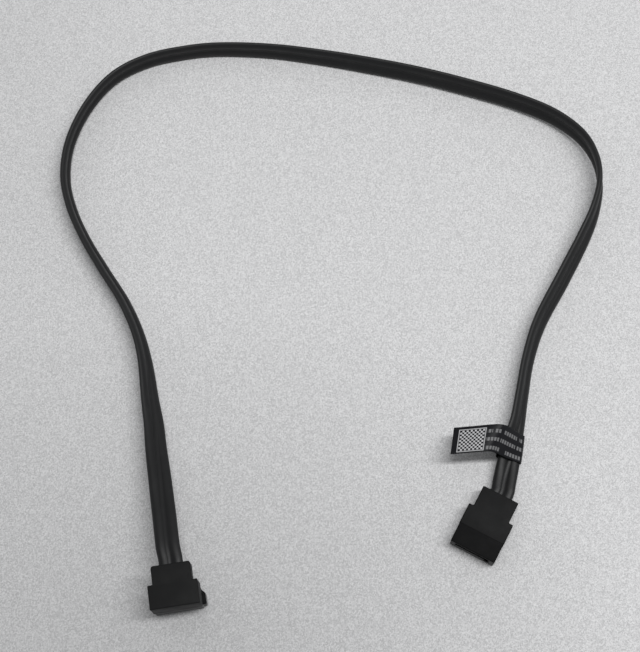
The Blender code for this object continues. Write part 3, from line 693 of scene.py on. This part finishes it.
gold, shader = new_finish("gold plating", (0.80, 0.58, 0.24), 0.26, 1.0)
surface = coordinates(shader)
brushed = noise(surface, 2600.0, 3.0, 0.6)
bent = noise(surface, 700.0, 2.0, 0.5)
connect(shader, "Base Color", blend(between(bent, 0.0, 1.0), (0.84, 0.62, 0.27),
                                    (0.70, 0.49, 0.20)))
connect(shader, "Roughness", between(brushed, 0.18, 0.36))
raise_grain(shader, brushed, 0.12, 0.00003)
finish_node(gold, *[f"{plug}_contact_{number}" for plug in ("straight", "angled")
                    for number in range(1, 8)])


# Wires in the plugs. Two pale insulated cores and two bare tinned drain wires from each pair,
# stripped and soldered to the contact tails where the moulded body hides them.
sleeve, shader = new_finish("core insulation", (0.72, 0.72, 0.69), 0.48)
surface = coordinates(shader)
milky = noise(surface, 1800.0, 3.0, 0.5)
connect(shader, "Base Color", blend(between(milky, 0.0, 1.0), (0.69, 0.69, 0.66),
                                    (0.77, 0.77, 0.745)))
connect(shader, "Roughness", between(milky, 0.40, 0.56))
raise_grain(shader, milky, 0.10, 0.00003)
finish_node(sleeve, *[f"{plug}_core_{number}" for plug in ("straight", "angled")
                      for number in range(1, 5)])

tinned, shader = new_finish("tinned wire", (0.70, 0.70, 0.68), 0.3, 1.0)
surface = coordinates(shader)
dull = noise(surface, 3000.0, 3.0, 0.6)
connect(shader, "Base Color", blend(between(dull, 0.0, 1.0), (0.74, 0.74, 0.72),
                                    (0.60, 0.60, 0.58)))
connect(shader, "Roughness", between(dull, 0.22, 0.42))
raise_grain(shader, dull, 0.15, 0.00003)
finish_node(tinned, *[f"{plug}_drain_{number}" for plug in ("straight", "angled")
                      for number in range(1, 5)])


# Flag label. One strip of black film folded round the ribbon near the straight plug, its ends
# stuck back to back; pale print on the outside: a square of blocks and three rows of marks.
LABEL_WIDTH = 8.66 * mm
LABEL_FROM_PLUG = 11.25 * mm
FILM_THICKNESS = 0.12 * mm
FILM_APART = 0.125 * mm
FLAG_END = Vector((0.03594, 0.02897, 0.00849))
FLAG_END_LEAN = Vector((0.221, 0.968, -0.184)).normalized()
FLAG_RISE = Vector((0.985, -0.021, 0.147)).normalized() * 17.1 * mm
FLAG_ARCH = 12.8 * mm
LEAF_STEPS = 32
LEAF_JOIN = 19
JOIN_HANDLE = 1.6 * mm
UNDER_HANDLE = 2.0 * mm
PEEL_BEND = math.radians(96.2)
FOLD_STEPS = 14
FOLD_RADIUS = RIBBON_THICKNESS / 2 + CABLE_CLEARANCE
FOLD_REACH = (RIBBON_WIDTH - RIBBON_THICKNESS) / 2
ALONG_STEPS = 150
ACROSS_STEPS = 24
FILM_COLOUR = (0.0060, 0.0064, 0.0082)
# Print, in millimetres: along from the strip's start, and down from its far edge
BORDER_OUTSIDE = ((1.65, 9.65), (0.90, 8.27))
BORDER_INSIDE = ((1.88, 9.42), (1.13, 8.04))
BLOCK_AREA = ((2.05, 9.25), (1.28, 7.88))
BLOCK_SIZE = 0.6
BLOCK_CORNER = (2.05, 0.78)
ROWS = (
    (2.10, ((10.0, 11.6), (12.2, 14.3), (15.4, 21.0), (22.1, 23.4))),
    (4.70, ((9.9, 14.05), (14.7, 20.9), (21.4, 23.7))),
    (7.45, ((10.0, 15.4), (17.8, 23.4))),
)
ROW_HALF = 0.55
ROW_STRENGTH = 0.36


def cubic(a, b, c, d, t):
    """A point on the Bezier curve with these four control points."""
    s = 1 - t
    return a * s ** 3 + b * 3 * t * s * s + c * 3 * t * t * s + d * t ** 3


def leaf_lines(distance, across):
    """The folded film's line at one distance along the ribbon: its points from end to end."""
    x, y, z, turn = along(distance)
    ahead = Vector(along(distance + RIBBON_THICKNESS)[:3]) - Vector((x, y, z))
    left = Vector((-ahead.y, ahead.x, 0.0)).normalized()
    up = Vector((0.0, 0.0, 1.0))
    angle = math.radians(turn)
    rise = left * math.cos(angle) + up * math.sin(angle)
    face = left * math.sin(angle) - up * math.cos(angle)
    centre = Vector((x, y, z))
    end = FLAG_END + FLAG_END_LEAN * across
    bends = [PEEL_BEND + (1.5 * math.pi - PEEL_BEND) * step / FOLD_STEPS
             for step in range(FOLD_STEPS + 1)]
    fold = [centre - rise * FOLD_REACH
            + (rise * math.cos(bend) + face * math.sin(bend)) * FOLD_RADIUS for bend in bends]
    peel = rise * math.sin(PEEL_BEND) - face * math.cos(PEEL_BEND)
    arch = fold[0] + peel * FLAG_ARCH
    over = [cubic(end, end + FLAG_RISE, arch, fold[0], step / LEAF_STEPS)
            for step in range(LEAF_STEPS)]
    join = over[LEAF_JOIN]
    heading = (join - over[LEAF_JOIN - 1]).normalized() * JOIN_HANDLE
    under = centre + rise * FOLD_REACH - face * FOLD_RADIUS
    below = over[:LEAF_JOIN + 1]
    below += [cubic(join, join + heading, under + rise * UNDER_HANDLE, under, step / FOLD_STEPS)
              for step in range(1, FOLD_STEPS)]
    upper = [point + up * FILM_APART * (1 - step / LEAF_STEPS)
             for step, point in enumerate(over)]
    lower = [point - up * FILM_APART for point in below]
    return upper + fold + [centre - face * FOLD_RADIUS, under] + lower[::-1]


def along_line(points, share):
    """The point at a share of a line's length."""
    steps = [(far - near).length for near, far in zip(points, points[1:])]
    distance = share * sum(steps)
    for near, far, step in zip(points, points[1:], steps):
        if distance <= step:
            return near.lerp(far, distance / step)
        distance -= step
    return points[-1]


film = bmesh.new()
film.loops.layers.uv.new("print")
bmesh.ops.create_grid(film, x_segments=ALONG_STEPS, y_segments=ACROSS_STEPS, size=0.5,
                      calc_uvs=True)
label_end = RIBBON_LENGTH - STRAIGHT_HOLD - LABEL_FROM_PLUG
lines = {}
for vertex in film.verts:
    down = round(0.5 - vertex.co.y, 6)
    if down not in lines:
        distance = label_end - LABEL_WIDTH * (1 - down)
        lines[down] = leaf_lines(distance, LABEL_WIDTH * (0.5 - down))
    vertex.co = along_line(lines[down], vertex.co.x + 0.5)
middle_line = lines[0.5]
strip_length = sum((far - near).length for near, far in zip(middle_line, middle_line[1:]))
label = place_piece(film, "flag_film", Matrix())

black_film, shader = new_finish("label film", FILM_COLOUR, 0.44, Specular_IOR_Level=0.16)
surface = coordinates(shader)
sheet_place = coordinates(shader, "UV", (strip_length / mm, LABEL_WIDTH / mm, 1.0))


def inside(value, low, high, soft=0.06):
    """1 between two bounds and 0 outside them, with a soft edge."""
    return (between(value, 0.0, 1.0, low - soft, low + soft)
            * between(value, 1.0, 0.0, high - soft, high + soft))


down_strip, from_bottom = axis_values(sheet_place)
from_top = LABEL_WIDTH / mm - from_bottom
block_place = sheet_place.node("ShaderNodeMapping", inputs={
    "Vector": sheet_place, "Location": (-BLOCK_CORNER[0], -BLOCK_CORNER[1], BLOCK_SIZE / 2)})
blocks = block_place.node("ShaderNodeTexChecker", inputs={
    "Vector": block_place, "Scale": 1 / BLOCK_SIZE, "Color1": (1, 1, 1, 1), "Color2": (0, 0, 0, 1)})
outer_square, inner_square, block_field = [
    inside(down_strip, *along_strip, soft) * inside(from_top, *across_strip, soft)
    for (along_strip, across_strip), soft in (
        (BORDER_OUTSIDE, 0.06), (BORDER_INSIDE, 0.06), (BLOCK_AREA, 0.03))]
print_mask = outer_square * (1 - inner_square) + block_field * blocks
mark_gap = inside((down_strip * 0.98).maths("FRACT"), 0.14, 0.84, 0.07)
for row, marks in ROWS:
    words = inside(down_strip, *marks[0])
    for low, high in marks[1:]:
        words = words + inside(down_strip, low, high)
    words = words * mark_gap * inside(from_top, row - ROW_HALF, row + ROW_HALF)
    print_mask = print_mask + words * ROW_STRENGTH
ink_wear_and_painted_shade = noise(surface, 1700.0, 3.0, 0.6)
scuff = noise(surface, 260.0, 4.0, 0.6)
ink = print_mask * between(ink_wear_and_painted_shade, 0.72, 1.0)
connect(shader, "Base Color", blend(ink, FILM_COLOUR, (0.56, 0.56, 0.57)))
connect(shader, "Roughness", between(scuff, 0.34, 0.50) + ink * 0.12)
raise_grain(shader, ink_wear_and_painted_shade * 0.5 + ink * 0.5, 0.12, 0.00003)
film_wall = label.modifiers.new("film", "SOLIDIFY")
film_wall.thickness = FILM_THICKNESS
film_wall.offset = 0.0
film_wall.use_even_offset = True
dress(label, black_film, "label_film", "flag_label")


# Table top. A flat sheet of pale grey foam with a fine speckled grain, much wider than the cable,
# with a painted shade that darkens it a little in front of the right-angled plug.
TABLE_SIZE = 3.0
TABLE_DROP = 0.02 * mm
PAINTED_SHADE_MIDDLE = (-0.05, -0.055, 0.0)
sheet = bmesh.new()
bmesh.ops.create_grid(sheet, x_segments=1, y_segments=1, size=TABLE_SIZE / 2)
bmesh.ops.translate(sheet, verts=sheet.verts, vec=(0.0, 0.0, -TABLE_DROP))
table_mesh = bpy.data.meshes.new("table")
sheet.to_mesh(table_mesh)
sheet.free()
table = bpy.data.objects.new("table", table_mesh)
scene.collection.objects.link(table)
foam, shader = new_finish("pale foam", (0.66, 0.66, 0.665), 0.85, Specular_IOR_Level=0.2)
surface = coordinates(shader)
grains = surface.node("ShaderNodeTexVoronoi", inputs={"Vector": surface, "Scale": 3000.0},
                      output="Color")
cells = noise(surface, 2300.0, 2.0, 0.65)
tone = blend(between(grains * 0.5 + cells * 0.5, 0.0, 1.0, 0.30, 0.70),
             (0.53, 0.53, 0.535), (0.80, 0.80, 0.805))
# Painted shade: the foam's colour darkens round a point in front of the right-angled plug, and more
# towards the left.
from_painted_shade = surface.node("ShaderNodeVectorMath", {"operation": "DISTANCE"},
                         {0: surface, 1: PAINTED_SHADE_MIDDLE}, output="Value")
across_table, _ = axis_values(surface)
painted_shade_left = between(across_table, 0.94, 1.0, -0.10, -0.05)
ink_wear_and_painted_shade = between(from_painted_shade, 0.70, 0.985, 0.010, 0.140) * painted_shade_left
connect(shader, "Base Color", blend(ink_wear_and_painted_shade, (0.0, 0.0, 0.0), tone))
raise_grain(shader, cells, 0.15, 0.0002)
table_mesh.materials.append(foam)


# Light. A long strip of ceiling light runs from above the cable far out to the right, so shadows
# fall softly to the left. The room's own light is weaker from the front than from behind, and
# where the room is seen or mirrored, it is pale low down and darker overhead.
STRIP_PLACE = (0.46, 0.07, 1.25)
STRIP_LENGTH = 1.32
STRIP_WIDTH = 0.18
STRIP_POWER = 13.4
ROOM_FRONT = 0.10
ROOM_BEHIND = 0.46
SEEN_LOW = 0.62
SEEN_OVERHEAD = 0.14

lamp = bpy.data.lights.new("ceiling strip", "AREA")
lamp.shape = "RECTANGLE"
lamp.size = STRIP_LENGTH
lamp.size_y = STRIP_WIDTH
lamp.energy = STRIP_POWER
ceiling_strip = bpy.data.objects.new("ceiling strip", lamp)
ceiling_strip.location = STRIP_PLACE
scene.collection.objects.link(ceiling_strip)

room = bpy.data.worlds.new("room")
scene.world = room
room.use_nodes = True
air = room.node_tree.nodes["Background"]
air.inputs["Color"].default_value = (0.98, 0.99, 1.0, 1.0)
rays = Field(air.inputs["Strength"])
seen = rays.node("ShaderNodeLightPath", output="Is Camera Ray")
seen = seen.maths("MAXIMUM", rays.node("ShaderNodeLightPath", output="Is Transmission Ray"))
seen = seen.maths("MAXIMUM", rays.node("ShaderNodeLightPath", output="Is Glossy Ray"))
direction = rays.node("ShaderNodeTexCoord")
axes = direction.node("ShaderNodeSeparateXYZ", inputs={"Vector": direction}).socket.node
towards_back, overhead = Field(axes.outputs["Y"]), Field(axes.outputs["Z"])
lighting = between(towards_back, ROOM_FRONT, ROOM_BEHIND, -0.7, 0.3)
backdrop = between(overhead, SEEN_LOW, SEEN_OVERHEAD, 0.45, 0.95)
strength = lighting * (1 - seen) + backdrop * seen
room.node_tree.links.new(strength.socket, air.inputs["Strength"])
